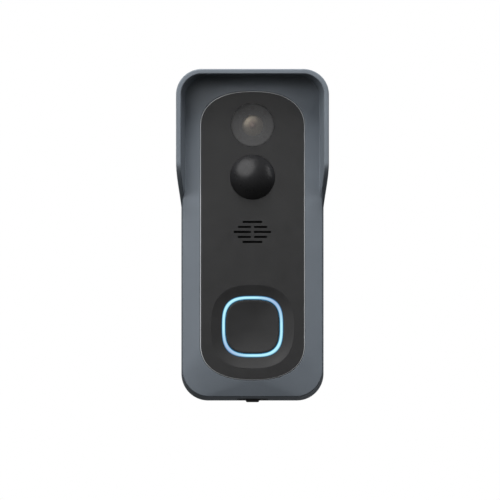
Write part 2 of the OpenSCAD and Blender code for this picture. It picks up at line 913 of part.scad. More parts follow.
// Silicone skirt that seals the button and pushes it back out
module button_membrane() {
    color([0.3, 0.3, 0.32]) {
        layer(main_front + 0.5, cap_back_d) difference() {
            button_shape(9.4);
            button_shape(8.9);
        }
        layer(main_front, main_front + 0.5) difference() {
            button_shape(10.6);
            button_shape(8.9);
        }
    }
}

// Tactile switch under the button
module tact_switch() {
    color([0.15, 0.15, 0.15]) translate([0, 0, button_z]) difference() {
        block([-switch_half, switch_half], [main_front, switch_front_d],
              [-switch_half, switch_half]);
        bar(0, 0, plunger_r + 0.05, plunger_back_d - button_travel - 0.1, switch_front_d + CUT);
    }
}

// Plunger of the tactile switch
module tact_switch_plunger() {
    color("ivory") bar(0, button_z, plunger_r, plunger_back_d, plunger_front_d);
}

// ---- Boards ----

// Main circuit board
module main_board() {
    color([0.05, 0.25, 0.12]) difference() {
        layer(main_d, main_front) rounded(main_half_w, main_low, main_high, 2);
        at_main_screws() bar(0, 0, small_hole_r, main_d - CUT, main_front + CUT);
    }
}

// Processor
module processor() {
    color([0.1, 0.1, 0.1]) block([-6, 6], [main_front, main_front + 1.2], [-22, -10]);
}

// Memory chip
module memory_chip() {
    color([0.12, 0.12, 0.12]) block([10, 18], [main_front, main_front + 1], [-21, -10]);
}

// Radio module under its shield
module wifi_module() {
    color("silver") difference() {
        block([-20.5, -11.5], [main_front, main_front + 1.8], [-14, 2]);
        block([-20.3, -11.7], [main_front + 1.65, main_front + 2], [-5.1, -4.9]);
    }
}

// Coils, capacitors and sockets of the main board
module board_components() {
    color([0.25, 0.22, 0.2]) {
        for (x = [-17, 17], z = [-46 : 6 : -28])
            block([x - 1, x + 1], [main_front, main_front + 0.9], [z - 0.6, z + 0.6]);
        for (x = [12.5, 17]) block([x - 2, x + 2], [main_front, main_front + 2], [-7, -3]);
    }
    // Sockets of the battery lead and of the flat cables
    color("ivory") {
        block([-18, -11], [main_front, main_front + 2.6], [-59.6, -56.5]);
        block([-4.5, 4.5], [main_d - 0.9, main_d], [3.6, 6.9]);
        block([4.8, 9.2], [main_d - 0.9, main_d], [6.9, 7.9]);
    }
}

// Flexible antenna under the top of the face
module antenna() {
    color([0.75, 0.5, 0.2]) block([-14, 14], [plate_d - 0.4, plate_d], [62, 66.5]);
}

// Coaxial lead from the antenna to the radio module
module antenna_lead() {
    route = smooth_path([
        at(-11, 27.4, 64), at(-15, 27.2, 63), at(-19, 27, 58), at(-19.6, 26.9, 45),
        at(-19.6, 26.9, 30), at(-19.6, 26.9, 16.5), at(-15.6, 27.1, 9.8), at(-15, 27.1, 4.6),
        at(-15, 26.4, 2.5)
    ]);
    color("black") wire(route, 0.55, 8, [0, 1, 0]);
}

// ---- Battery ----

// Lithium-ion cell with its raised cap
module cell(x, way) {
    translate([x, -cell_d, (cell_low + cell_high) / 2]) mirror([0, 0, way < 0 ? 1 : 0]) {
        translate([0, 0, -cell_l / 2]) cylinder(r = cell_r, h = cell_l - 0.9);
        translate([0, 0, cell_l / 2 - 1]) cylinder(r = 3.2, h = 1);
    }
}

module battery_cell_left() {
    color([0.1, 0.35, 0.6]) cell(-cell_x, 1);
}

module battery_cell_right() {
    color([0.1, 0.35, 0.6]) cell(cell_x, -1);
}

// Open-fronted cradle that holds the two cells
module battery_cradle() {
    color([0.16, 0.16, 0.16]) difference() {
        block([-20.4, 20.4], [12, 22.4], [cell_low - 1.5, cell_high + 1.5]);
        for (x = [-cell_x, cell_x])
            translate([x, -cell_d, cell_low - 0.35]) cylinder(r = cell_r + 0.1, h = cell_l + 0.7);
        for (z = [cell_low - 0.35, cell_high - 0.05])
            block([-15.2, 15.2], [11, 16.2], [z, z + 0.4]);
    }
}

// Nickel strips welded to the cells
module battery_tabs() {
    color("silver") {
        block([-15, 15], [11.5, 16], [cell_high, cell_high + tab_t]);
        for (x = [-cell_x, cell_x])
            block([x - 4, x + 4], [11.5, 16], [cell_low - tab_t, cell_low]);
    }
}

// Two insulated wires from the cells to the main board
module battery_lead() {
    color("red") wire(smooth_path([
        at(-7, 11, cell_low - 0.9), at(-9.5, 11, -62.7), at(-12, 13, -63.1), at(-12.9, 19, -63.2),
        at(-13, 24, -63), at(-13, 26.3, -61.8), at(-13, 26.4, -59.7)
    ]), 0.5, 8, [1, 0, 0.2]);
    color("black") wire(smooth_path([
        at(7, 11, cell_low - 0.9), at(7.2, 12, -62.8), at(5.5, 14.8, -63.2), at(-4, 15, -63.6),
        at(-13, 19, -64.7), at(-15.8, 24, -63.6), at(-16, 26.3, -61.8), at(-16, 26.4, -59.7)
    ]), 0.5, 8, [0.3, 0.2, 1]);
}

// ---- Charging port ----

// Board of the charging socket
module charge_board() {
    color([0.05, 0.25, 0.12])
        block([-20, 20], [charge_board_d, socket_back_d], [port_pad_top + 0.1, -61.9]);
}

// Charging socket
module usb_socket() {
    color("silver") difference() {
        block([-socket_half_w, socket_half_w], [socket_back_d, socket_back_d + socket_t],
              [-68.1, -62]);
        block([-4.15, 4.15], [socket_back_d + 0.3, socket_back_d + socket_t - 0.3], [-69, -63]);
    }
    color("black") block([-3.3, 3.3], [socket_back_d + 1.3, socket_back_d + 1.9], [-67.6, -62.9]);
}

// Rubber cover of the charging socket, with a pull lip
module usb_cover() {
    color([0.19, 0.19, 0.2]) {
        block([-cover_half_w, cover_half_w], [cover_hinge_d, cover_front_d],
              [cover_low, cover_low + cover_t]);
        // Rolled edge that the cover bends about
        across(0, 2 * cover_half_w, cover_t / 2, cover_hinge_d, cover_low + cover_t / 2);
        block([-4.3, 4.3], [10.6, 13], [cover_low + 0.8, -68.75]);
        layer(13.2, cover_front_d)
            polygon([[-3.2, -70.9], [3.2, -70.9], [2.6, -72.05], [-2.6, -72.05]]);
    }
}

// Switch behind the reset button
module reset_switch() {
    color([0.15, 0.15, 0.15])
        block([reset_x - 2, reset_x + 2], [6.6, charge_board_d], [reset_z - 2, reset_z + 2]);
}

// Reset button in the back of the body
module reset_button() {
    color([0.3, 0.3, 0.32]) {
        bar(reset_x, reset_z, 1.6, back_d + 0.1, 4.5);
        bar(reset_x, reset_z, 2.4, 4.3, 4.9);
        bar(reset_x, reset_z, 0.9, 4.8, 6.1);
    }
}

wall_bracket();
bracket_latch();
latch_spring();
front_housing();
rear_housing();
housing_gasket();
housing_screws();
board_screws();
front_panel();
panel_tape();
lens_window();
lens_window_seal();
lens_barrel();
lens_front_element();
lens_rear_element();
lens_holder();
ir_cut_filter();
ir_cut_actuator();
image_sensor();
camera_board();
camera_ribbon();
ir_baffle();
ir_led_board();
ir_leds();
light_sensor();
pir_lens();
pir_retainer();
pir_sensor();
pir_board();
pir_ribbon();
speaker_frame();
speaker_magnet();
speaker_cone();
speaker_gasket();
speaker_mesh();
microphone();
microphone_boot();
button_cap();
light_ring();
ring_leds();
button_membrane();
tact_switch();
tact_switch_plunger();
main_board();
processor();
memory_chip();
wifi_module();
board_components();
antenna();
antenna_lead();
battery_cell_left();
battery_cell_right();
battery_cradle();
battery_tabs();
battery_lead();
charge_board();
usb_socket();
usb_cover();
reset_switch();
reset_button();
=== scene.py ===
import functools
import json
import math

import bmesh
import bpy
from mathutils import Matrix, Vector


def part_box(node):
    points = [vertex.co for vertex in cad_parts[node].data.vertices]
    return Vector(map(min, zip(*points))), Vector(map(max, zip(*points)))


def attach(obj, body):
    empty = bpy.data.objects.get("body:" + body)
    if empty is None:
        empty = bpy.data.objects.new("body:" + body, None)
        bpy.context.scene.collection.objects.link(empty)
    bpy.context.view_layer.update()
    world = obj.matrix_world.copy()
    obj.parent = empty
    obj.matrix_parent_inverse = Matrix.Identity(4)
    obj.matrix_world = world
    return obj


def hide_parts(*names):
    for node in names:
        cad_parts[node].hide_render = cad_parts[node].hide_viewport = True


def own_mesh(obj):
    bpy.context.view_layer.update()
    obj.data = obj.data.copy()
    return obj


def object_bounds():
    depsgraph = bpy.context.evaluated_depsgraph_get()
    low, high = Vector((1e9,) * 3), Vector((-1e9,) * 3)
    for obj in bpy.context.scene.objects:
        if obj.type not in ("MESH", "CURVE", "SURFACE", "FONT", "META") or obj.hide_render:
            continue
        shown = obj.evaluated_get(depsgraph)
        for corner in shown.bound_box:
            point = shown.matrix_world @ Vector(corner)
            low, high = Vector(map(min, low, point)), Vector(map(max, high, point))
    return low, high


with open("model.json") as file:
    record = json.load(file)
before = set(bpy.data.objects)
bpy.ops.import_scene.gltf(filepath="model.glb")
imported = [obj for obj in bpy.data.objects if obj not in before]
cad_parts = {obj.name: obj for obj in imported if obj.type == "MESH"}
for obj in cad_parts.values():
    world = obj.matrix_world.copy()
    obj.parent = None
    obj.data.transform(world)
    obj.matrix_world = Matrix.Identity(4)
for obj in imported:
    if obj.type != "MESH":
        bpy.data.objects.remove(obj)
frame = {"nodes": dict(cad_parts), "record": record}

# A video doorbell. Lengths below are millimetres unless a name says otherwise, and a depth is
# a distance forward from the wall. MM turns them into the frame's metres.
MM = 0.001
cad_low, cad_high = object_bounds()


def low(node):
    """The node's lowest corner in millimetres."""
    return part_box(node)[0] / MM


def high(node):
    """The node's highest corner in millimetres."""
    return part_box(node)[1] / MM


# ---- Sizes read from the frame ----
SEAM_D = -high("front_housing").y
RIM_D = -low("front_housing").y
BACK_D = -high("rear_housing").y
HOOD_HALF = high("front_housing").x
HOOD_TOP = high("front_housing").z
REAR_HALF = 30.8
BODY_LOW = low("rear_housing").z
PANEL_D = -low("front_panel").y
PANEL_BACK_D = -high("front_panel").y
PANEL_HALF = high("front_panel").x
PANEL_TOP = high("front_panel").z
PANEL_LOW = low("front_panel").z
WINDOW_R = high("lens_window").x
CAMERA_Z = (high("lens_window").z + low("lens_window").z) / 2
DOME_TIP_D = -low("pir_lens").y
PIR_Z = (high("pir_lens").z + low("pir_lens").z) / 2
BUTTON_Z = (high("button_cap").z + low("button_cap").z) / 2
CAP_HALF = high("button_cap").x
CAP_BACK_D = -high("button_cap").y
RING_OUTER = high("light_ring").x
RING_BACK_D = -high("light_ring").y
COVER_LOW = low("usb_cover")
COVER_HIGH = high("usb_cover")

# ---- Sizes that the boxes don't give ----
FACE_D = PANEL_D - 0.2
FACE_HALF = 29.5
FACE_EDGE = 0.5
DRAFT_END_D = FACE_D - 0.7
BEZEL_DROP = 1.25
FOOT_D = FACE_D - BEZEL_DROP
EDGE_D = FOOT_D - 0.7
BODY_TOP = 70.0
FACE_LOW = -69.3
FACE_TOP = 69.4
CORNER_R = 11.6
WALL = 1.8
HOOD_ROOT_D = 24.0
RIM_T = 2.1
RIM_CORNER_R = 10.9
RIM_INSIDE_R = 9.0
RIM_EDGE_R = 0.5
HOOD_FOOT_HALF = FACE_HALF - 0.5
HOOD_FOOT_LOW = FACE_LOW + 0.3
HOOD_FOOT_TOP = 68.0
HOOD_FOOT_R = 9.4
# The skin parts into wall and hood from HOOD_START behind the face, over HOOD_PART
HOOD_START = 1.5
HOOD_PART = 5.0
CREST_SPREAD = 0.12
SWEEP_END = 6.5
SWEEP_TOP = 29.5
ARCH_H = 15.4
ARCH_N = 2.33
DOME_R = 9.6
DISH_R = 17.85
DISH_N = 2.6
DISH_DEPTH = 1.6
RING_N = 3.08
RING_INNER = RING_OUTER - 1.55
GRILLE_Z = 1.2
SLOT_PITCH = 2.14
SLOT_H = 0.86
HOOK_SLOT_X = (9.7, 18.3)
HOOK_SLOT_Z = (58.2, 63.1)
LATCH_SLOT_HALF = 3.5
LATCH_SLOT_Z = (-57.7, -54.0)
SCREW_X = 25.6
SCREW_ROWS = (-56.0, 0.0, 58.0)
SCREW_BORE_R = 2.6
SCREW_SINK_R = 3.4
RESET_X = 14.0
RESET_Z = -65.0
RESET_BORE_R = 1.65
POCKET_HALF = 6.5
POCKET_D = (7.0, 15.8)
POCKET_CEILING = -70.1
PORT_HALF = 4.75
PORT_D = (10.2, 13.5)
PORT_TOP = -67.0
BELOW_BODY = -74.0
# Each entry is a slot's middle and length, by the row's distance from the middle row
SLOT_ROWS = [
    [(-4.35, 7.4), (4.3, 7.4)],
    [(-3.45, 5.7), (3.45, 5.7)],
    [(0.0, 8.5)],
]
SIDE_STEPS = 120
QUARTER_STEPS = 28
FLAT_STEPS = 24


def smooth(t):
    """Eases t from 0 to 1."""
    t = min(max(t, 0.0), 1.0)
    return t * t * (3 - 2 * t)


def mix(a, b, t):
    """The value a share t of the way from a to b."""
    return a + (b - a) * t


def facing_angles():
    """Directions that an end of an outline faces, from the right side over to the left, in radians.

    The middle ones repeat straight up, for the points along a flat end.
    """
    quarter = [math.pi / 2 * i / QUARTER_STEPS for i in range(QUARTER_STEPS)]
    flat = [math.pi / 2] * FLAT_STEPS
    return quarter + flat + [math.pi / 2 + a for a in quarter]


def outline(half_w, bottom, top, end):
    """(x, z) points from the foot of the right side upwards. end lists the upper end from (0, 0)."""
    points = [(half_w, mix(bottom, top, i / SIDE_STEPS)) for i in range(SIDE_STEPS)]
    points += [(x, top + z) for x, z in end]
    points += [(-half_w, mix(top, bottom, i / SIDE_STEPS)) for i in range(SIDE_STEPS)]
    points += [(-x, bottom - z) for x, z in end]
    return points


def rounded(half_w, bottom, top, r):
    """(x, z) points of a rectangle with round corners."""
    reach = half_w - r
    end = []
    for i, a in enumerate(facing_angles()):
        along = min(max((i - QUARTER_STEPS) / FLAT_STEPS, 0), 1)
        end.append((reach * (1 - 2 * along) + r * math.cos(a), r * math.sin(a)))
    return outline(half_w, bottom + r, top - r, end)


def arched(grow=0.0):
    """(x, z) points of the dark panel's outline, grown by grow.

    Each one faces the way that its partner in rounded does.
    """
    half_w = PANEL_HALF + grow
    rise = ARCH_H + grow
    end = []
    for a in facing_angles():
        slope = abs(math.tan(a)) * rise / half_w
        t = math.atan(slope ** (1 / (2 - 2 / ARCH_N)))
        end.append(squared(half_w, rise, ARCH_N, t if a <= math.pi / 2 else math.pi - t))
    return outline(half_w, PANEL_LOW + ARCH_H, PANEL_TOP - ARCH_H, end)


def squared(a, b, n, t):
    """A point of a squared ellipse with half axes a and b, at angle t."""
    c, s = math.cos(t), math.sin(t)
    x = math.copysign(abs(c) ** (2 / n), c) * a
    z = math.copysign(abs(s) ** (2 / n), s) * b
    return x, z


def squircle(a, n, z0=0.0, steps=192):
    """(x, z) points of a squared circle of half width a round height z0."""
    points = [squared(a, a, n, 2 * math.pi * i / steps) for i in range(steps)]
    return [(x, z0 + z) for x, z in points]


def circle(r, z0=0.0, x0=0.0, steps=128):
    """(x, z) points of a circle."""
    angles = [2 * math.pi * i / steps for i in range(steps)]
    return [(x0 + r * math.cos(a), z0 + r * math.sin(a)) for a in angles]


def stadium(x0, z0, length, h, steps=16):
    """(x, z) points of a slot with round ends."""
    r = h / 2
    reach = length / 2 - r
    right = [(x0 + reach + r * math.cos(a), z0 + r * math.sin(a))
             for a in (math.pi * (i / steps - 0.5) for i in range(steps + 1))]
    left = [(2 * x0 - x, 2 * z0 - z) for x, z in right]
    return right + left


def box_outline(x0, x1, z0, z1):
    """(x, z) corners of a rectangle."""
    return [(x1, z0), (x1, z1), (x0, z1), (x0, z0)]


def at_depth(points, d):
    """Turns (x, z) points into a ring of points at depth d."""
    return [Vector((x, -d, z)) for x, z in points]


def body_share(d):
    """How far depth d lies between the body's back and its front edge, from 0 to 1."""
    return (d - BACK_D) / (DRAFT_END_D - BACK_D)


def body(d, inset=0.0):
    """(x, z) outline of the drafted body at depth d, drawn in by inset."""
    t = body_share(d)
    half_w = mix(REAR_HALF, FACE_HALF + FACE_EDGE, t) - inset
    bottom = mix(BODY_LOW, FACE_LOW, t) + inset
    top = mix(BODY_TOP, FACE_TOP, t) - inset
    return rounded(half_w, bottom, top, CORNER_R - inset)


# ---- Meshes ----

def make(name, vertices, faces):
    """A mesh object from points in millimetres, with its normals facing out."""
    mesh = bpy.data.meshes.new(name)
    mesh.from_pydata([v * MM for v in vertices], [], faces)
    bm = bmesh.new()
    bm.from_mesh(mesh)
    bmesh.ops.remove_doubles(bm, verts=bm.verts, dist=1e-7)
    bmesh.ops.recalc_face_normals(bm, faces=bm.faces)
    bm.to_mesh(mesh)
    bm.free()
    piece = bpy.data.objects.new(name, mesh)
    bpy.context.scene.collection.objects.link(piece)
    return piece


def loft(name, rings, loop=False):
    """A skin through rings of equal length. loop joins the last ring to the first, else both are capped."""
    count = len(rings[0])
    vertices = [v for ring in rings for v in ring]
    faces = []
    for k in range(len(rings) if loop else len(rings) - 1):
        a = k * count
        b = (k + 1) % len(rings) * count
        for i in range(count):
            j = (i + 1) % count
            faces.append((a + i, a + j, b + j, b + i))
    if not loop:
        faces.append(tuple(range(count)))
        faces.append(tuple(range(len(vertices) - count, len(vertices))))
    return make(name, vertices, faces)


def shade(piece, angle=32):
    """Smooth shading that keeps edges sharper than angle degrees."""
    bm = bmesh.new()
    bm.from_mesh(piece.data)
    for face in bm.faces:
        face.smooth = True
    for edge in bm.edges:
        edge.smooth = edge.is_manifold and edge.calc_face_angle(0) < math.radians(angle)
    bm.to_mesh(piece.data)
    bm.free()


def flatten_normals(piece):
    """Lets the large faces rule the shading of the small ones beside them."""
    weighted = piece.modifiers.new("weighted", "WEIGHTED_NORMAL")
    weighted.keep_sharp = True
    weighted.weight = 50


def cut(piece, cutters):
    """Takes the cutters away from the piece, and deletes them."""
    for cutter in cutters:
        boolean = piece.modifiers.new("cut", "BOOLEAN")
        boolean.operation = "DIFFERENCE"
        boolean.solver = "EXACT"
        boolean.object = cutter
        settled = bpy.data.meshes.new_from_object(
            piece.evaluated_get(bpy.context.evaluated_depsgraph_get()))
        piece.modifiers.clear()
        piece.data = settled
        bpy.data.objects.remove(cutter)


def bore(points, name, d0, d1, lip):
    """A cutter from depth d0 to d1 and on, widened by lip at d1. points(grow) gives its outline."""
    rings = [
        at_depth(points(0), d0),
        at_depth(points(0), d1 - lip),
        at_depth(points(lip), d1),
        at_depth(points(3 * lip), d1 + 2 * lip),
    ]
    return loft(name, rings)


def dish_d(reach):
    """Depth of the dish's surface at a share reach of its half width."""
    return PANEL_D - DISH_DEPTH * (1 - reach ** 2)


# ---- Materials ----

class Shader:
    """A node material, with short calls for the nodes that the materials share."""

    def __init__(self, name):
        self.material = bpy.data.materials.new(name)
        self.material.use_nodes = True
        self.tree = self.material.node_tree
        self.bsdf = self.tree.nodes["Principled BSDF"]
        self.place = self.add("ShaderNodeTexCoord").outputs["Object"]

    def add(self, kind, **settings):
        node = self.tree.nodes.new(kind)
        for key, value in settings.items():
            setattr(node, key, value)
        return node

    def link(self, out, into):
        self.tree.links.new(out, into)

    def set(self, **values):
        """Sets the shader's own sockets, named with _ for a space."""
        for key, value in values.items():
            self.bsdf.inputs[key.replace("_", " ")].default_value = value

    def noise(self, size_mm, detail=3.0, rough=0.6, stretch=(1, 1, 1)):
        """Noise whose blotches are about size_mm across."""
        mapping = self.add("ShaderNodeMapping")
        mapping.inputs["Scale"].default_value = [s / (size_mm * MM) for s in stretch]
        self.link(self.place, mapping.inputs["Vector"])
        noise = self.add("ShaderNodeTexNoise")
        noise.inputs["Scale"].default_value = 1.0
        noise.inputs["Detail"].default_value = detail
        noise.inputs["Roughness"].default_value = rough
        self.link(mapping.outputs["Vector"], noise.inputs["Vector"])
        return noise.outputs["Fac"]

    def blend(self, first, last, share):
        """A colour between first and last, each of them a socket or a colour, by the socket share."""
        mixed = self.add("ShaderNodeMix", data_type="RGBA")
        # A mix node also has sockets for numbers and vectors, so its colour sockets are found by type
        sockets = [socket for socket in mixed.inputs if socket.type == "RGBA"]
        for socket, colour in zip(sockets, (first, last)):
            if isinstance(colour, bpy.types.NodeSocket):
                self.link(colour, socket)
            else:
                socket.default_value = (*colour, 1)
        self.link(share, mixed.inputs["Factor"])
        return next(socket for socket in mixed.outputs if socket.type == "RGBA")

    def ramp(self, value, first, last, start=0.35, end=0.65):
        """A number or colour that runs from first to last as value goes from start to end."""
        ranged = self.add("ShaderNodeMapRange")
        ranged.inputs["From Min"].default_value = start
        ranged.inputs["From Max"].default_value = end
        ranged.clamp = True
        self.link(value, ranged.inputs["Value"])
        share = ranged.outputs["Result"]
        if not isinstance(first, (int, float)):
            return self.blend(first, last, share)
        ranged.inputs["To Min"].default_value = first
        ranged.inputs["To Max"].default_value = last
        return share

    def bump(self, height, depth_mm, strength=1.0, below=None):
        """Bumps of depth_mm from a height, over the bumps below."""
        node = self.add("ShaderNodeBump")
        node.inputs["Strength"].default_value = strength
        node.inputs["Distance"].default_value = depth_mm * MM
        self.link(height, node.inputs["Height"])
        if below is not None:
            self.link(below, node.inputs["Normal"])
        return node.outputs["Normal"]

    def wear(self, colour, light):
        """The colour, lightened a little along worn edges."""
        edge = self.ramp(self.add("ShaderNodeNewGeometry").outputs["Pointiness"], 0.0, 1.0, 0.52, 0.6)
        return self.blend(colour, light, edge)


def moulded(name, colour, rough=0.45, grain_mm=0.25, grain_depth=0.01, spread=0.06, level=0.5):
    """Moulded plastic: an even colour with faint blotches, and a fine spark-eroded grain."""
    s = Shader(name)
    darker = [c * (1 - spread) for c in colour]
    lighter = [min(c * (1 + spread), 1) for c in colour]
    s.link(s.ramp(s.noise(14), darker, lighter), s.bsdf.inputs["Base Color"])
    s.link(s.ramp(s.noise(5), rough - 0.04, rough + 0.04), s.bsdf.inputs["Roughness"])
    grain = s.bump(s.noise(grain_mm, 2), grain_depth, 0.6)
    s.link(s.bump(s.noise(9, 2), 0.02, 0.25, grain), s.bsdf.inputs["Normal"])
    s.set(Specular_IOR_Level=level)
    return s.material


def metal(name, colour, rough=0.3, brushed=(1, 1, 12)):
    """Plated or rolled metal with fine lines along one way."""
    s = Shader(name)
    darker = [c * 0.85 for c in colour]
    s.link(s.ramp(s.noise(1.2, 4, 0.6, brushed), darker, colour), s.bsdf.inputs["Base Color"])
    s.link(s.ramp(s.noise(0.8, 3, 0.6, brushed), rough - 0.07, rough + 0.1),
           s.bsdf.inputs["Roughness"])
    s.link(s.bump(s.noise(0.15, 2, 0.5, brushed), 0.004, 0.5), s.bsdf.inputs["Normal"])
    s.set(Metallic=1.0)
    return s.material


def circuit(name, colour, copper):
    """A circuit board's solder mask with faint tracks under it."""
    s = Shader(name)
    tracks = s.add("ShaderNodeTexBrick")
    tracks.inputs["Scale"].default_value = 1 / (6 * MM)
    tracks.inputs["Mortar Size"].default_value = 0.03
    tracks.inputs["Color1"].default_value = (*colour, 1)
    tracks.inputs["Color2"].default_value = (*[c * 0.8 for c in colour], 1)
    tracks.inputs["Mortar"].default_value = (*copper, 1)
    turn = s.add("ShaderNodeMapping")
    turn.inputs["Rotation"].default_value = (math.pi / 2, 0, 0)
    s.link(s.place, turn.inputs["Vector"])
    s.link(turn.outputs["Vector"], tracks.inputs["Vector"])
    s.link(tracks.outputs["Color"], s.bsdf.inputs["Base Color"])
    s.link(s.ramp(s.noise(2), 0.28, 0.4), s.bsdf.inputs["Roughness"])
    s.link(s.bump(tracks.outputs["Fac"], 0.02, 0.6), s.bsdf.inputs["Normal"])
    return s.material


def shell_material():
    """Blue-grey satin plastic of both shells."""
    s = Shader("shell_plastic")
    base = s.ramp(s.noise(22, 4), SHELL_DARK, SHELL_LIGHT, 0.3, 0.7)
    s.link(s.wear(base, SHELL_EDGE), s.bsdf.inputs["Base Color"])
    s.link(s.ramp(s.noise(6, 3), 0.42, 0.5), s.bsdf.inputs["Roughness"])
    grain = s.bump(s.noise(0.3, 2), 0.012, 0.5)
    s.link(s.bump(s.noise(12, 2), 0.03, 0.2, grain), s.bsdf.inputs["Normal"])
    s.set(Specular_IOR_Level=0.5)
    return s.material


def panel_material(name, colour, rough):
    """Near-black satin plastic of the panel and the button."""
    s = Shader(name)
    darker = [c * 0.94 for c in colour]
    lighter = [c * 1.06 for c in colour]
    s.link(s.ramp(s.noise(16, 3), darker, lighter), s.bsdf.inputs["Base Color"])
    s.link(s.ramp(s.noise(4, 3), rough - 0.03, rough + 0.03), s.bsdf.inputs["Roughness"])
    s.link(s.bump(s.noise(0.22, 2), 0.006, 0.5), s.bsdf.inputs["Normal"])
    s.set(Specular_IOR_Level=0.75)
    return s.material


def window_material():
    """Smoked window: a hazy grey disc that lets the lens show through."""
    s = Shader("smoked_window")
    s.link(s.ramp(s.noise(6, 2), WINDOW_DARK, WINDOW_LIGHT), s.bsdf.inputs["Base Color"])
    s.link(s.ramp(s.noise(3, 2), 0.16, 0.22), s.bsdf.inputs["Roughness"])
    s.set(Alpha=0.3, Specular_IOR_Level=0.5)
    return s.material


def lens_material():
    """Coated glass of the lens: warm cream, with a reddish pupil and a painted reflection, a pale glint at
    its middle.
    """
    s = Shader("coated_lens")
    centre = s.add("ShaderNodeVectorMath", operation="SUBTRACT")
    s.link(s.place, centre.inputs[0])
    centre.inputs[1].default_value = (0, 0, CAMERA_Z * MM)
    flat = s.add("ShaderNodeVectorMath", operation="MULTIPLY")
    s.link(centre.outputs["Vector"], flat.inputs[0])
    flat.inputs[1].default_value = (1, 0, 1)
    length = s.add("ShaderNodeVectorMath", operation="LENGTH")
    s.link(flat.outputs["Vector"], length.inputs[0])
    radius = length.outputs["Value"]
    colour = s.ramp(radius, LENS_PUPIL, LENS_CREAM, 1.4 * MM, 2.2 * MM)
    # Painted reflection: a pale glint at the lens's middle, set by radius in object space
    glint_share = s.ramp(radius, 1.0, 0.0, 0.35 * MM, 0.85 * MM)
    s.link(s.blend(colour, LENS_PAINTED_GLINT, glint_share), s.bsdf.inputs["Base Color"])
    s.link(s.ramp(s.noise(3, 2), 0.42, 0.48), s.bsdf.inputs["Roughness"])
    s.set(Metallic=0.88, Coat_Weight=0.1, Coat_Roughness=0.3)
    return s.material


def dome_material():
    """Black plastic with a soft gloss, which passes infrared."""
    s = Shader("dome_black")
    s.link(s.ramp(s.noise(5, 2), DOME_DARK, DOME_LIGHT), s.bsdf.inputs["Base Color"])
    s.link(s.ramp(s.noise(3, 2), 0.27, 0.3), s.bsdf.inputs["Roughness"])
    s.link(s.bump(s.noise(1.5, 2), 0.003, 0.3), s.bsdf.inputs["Normal"])
    s.set(Specular_IOR_Level=0.5)
    return s.material


def ring_material():
    """Milky light guide, lit cyan, turning lavender towards two corners and deep blue at its edges."""
    s = Shader("lit_ring")
    split = s.add("ShaderNodeSeparateXYZ")
    s.link(s.place, split.inputs["Vector"])
    height = s.add("ShaderNodeMath", operation="ADD")
    s.link(split.outputs["Z"], height.inputs[0])
    height.inputs[1].default_value = -BUTTON_Z * MM
    product = s.add("ShaderNodeMath", operation="MULTIPLY")
    s.link(split.outputs["X"], product.inputs[0])
    s.link(height.outputs["Value"], product.inputs[1])
    corner = (RING_OUTER * MM) ** 2 * 0.6
    glow = s.ramp(product.outputs["Value"], RING_CYAN, RING_LAVENDER, 0.1 * corner, corner)
    facing = s.add("ShaderNodeSeparateXYZ")
    s.link(s.add("ShaderNodeNewGeometry").outputs["Normal"], facing.inputs["Vector"])
    edge = s.ramp(facing.outputs["Y"], 0.0, 1.0, -0.95, -0.55)
    s.link(s.blend(glow, RING_EDGE, edge), s.bsdf.inputs["Emission Color"])
    s.link(s.ramp(s.noise(3, 2), RING_BODY_DARK, RING_BODY_LIGHT), s.bsdf.inputs["Base Color"])
    s.link(s.ramp(s.noise(2, 2), 0.3, 0.4), s.bsdf.inputs["Roughness"])
    s.set(Emission_Strength=RING_STRENGTH, Specular_IOR_Level=0.2)
    return s.material


def woven(name, colour):
    """Fine woven mesh."""
    s = Shader(name)
    across = s.add("ShaderNodeTexWave", wave_type="BANDS", bands_direction="X")
    along = s.add("ShaderNodeTexWave", wave_type="BANDS", bands_direction="Z")
    for wave in (across, along):
        wave.inputs["Scale"].default_value = 1 / (1.2 * MM)
        s.link(s.place, wave.inputs["Vector"])
    weave = s.add("ShaderNodeMath", operation="MULTIPLY")
    s.link(across.outputs["Fac"], weave.inputs[0])
    s.link(along.outputs["Fac"], weave.inputs[1])
    s.link(s.ramp(weave.outputs["Value"], [c * 0.5 for c in colour], colour, 0, 1),
           s.bsdf.inputs["Base Color"])
    s.link(s.ramp(s.noise(2), 0.8, 0.9), s.bsdf.inputs["Roughness"])
    s.link(s.bump(weave.outputs["Value"], 0.05), s.bsdf.inputs["Normal"])
    return s.material


LENS_CREAM = (0.7, 0.6, 0.46)
LENS_PUPIL = (0.56, 0.43, 0.35)
# Colour of the painted glint at the lens's middle
LENS_PAINTED_GLINT = (0.95, 0.72, 0.62)
SHELL_DARK = (0.150, 0.172, 0.198)
SHELL_LIGHT = (0.168, 0.192, 0.220)
SHELL_EDGE = (0.21, 0.235, 0.265)
PANEL_COLOUR = (0.025, 0.025, 0.0255)
# A light colour for the panel's slanted edge: a painted highlight line
PANEL_PAINTED_HIGHLIGHT = (0.6, 0.62, 0.64)
BUTTON_COLOUR = (0.025, 0.025, 0.0255)
WINDOW_DARK = (0.21, 0.21, 0.212)
WINDOW_LIGHT = (0.225, 0.225, 0.227)
DOME_DARK = (0.014, 0.014, 0.015)
DOME_LIGHT = (0.018, 0.018, 0.019)
RING_BODY_DARK = (0.04, 0.09, 0.1)
RING_BODY_LIGHT = (0.05, 0.11, 0.12)
RING_CYAN = (0.48, 0.88, 1.0)
RING_LAVENDER = (0.36, 0.46, 0.72)
RING_EDGE = (0.02, 0.16, 0.34)
RING_STRENGTH = 0.95

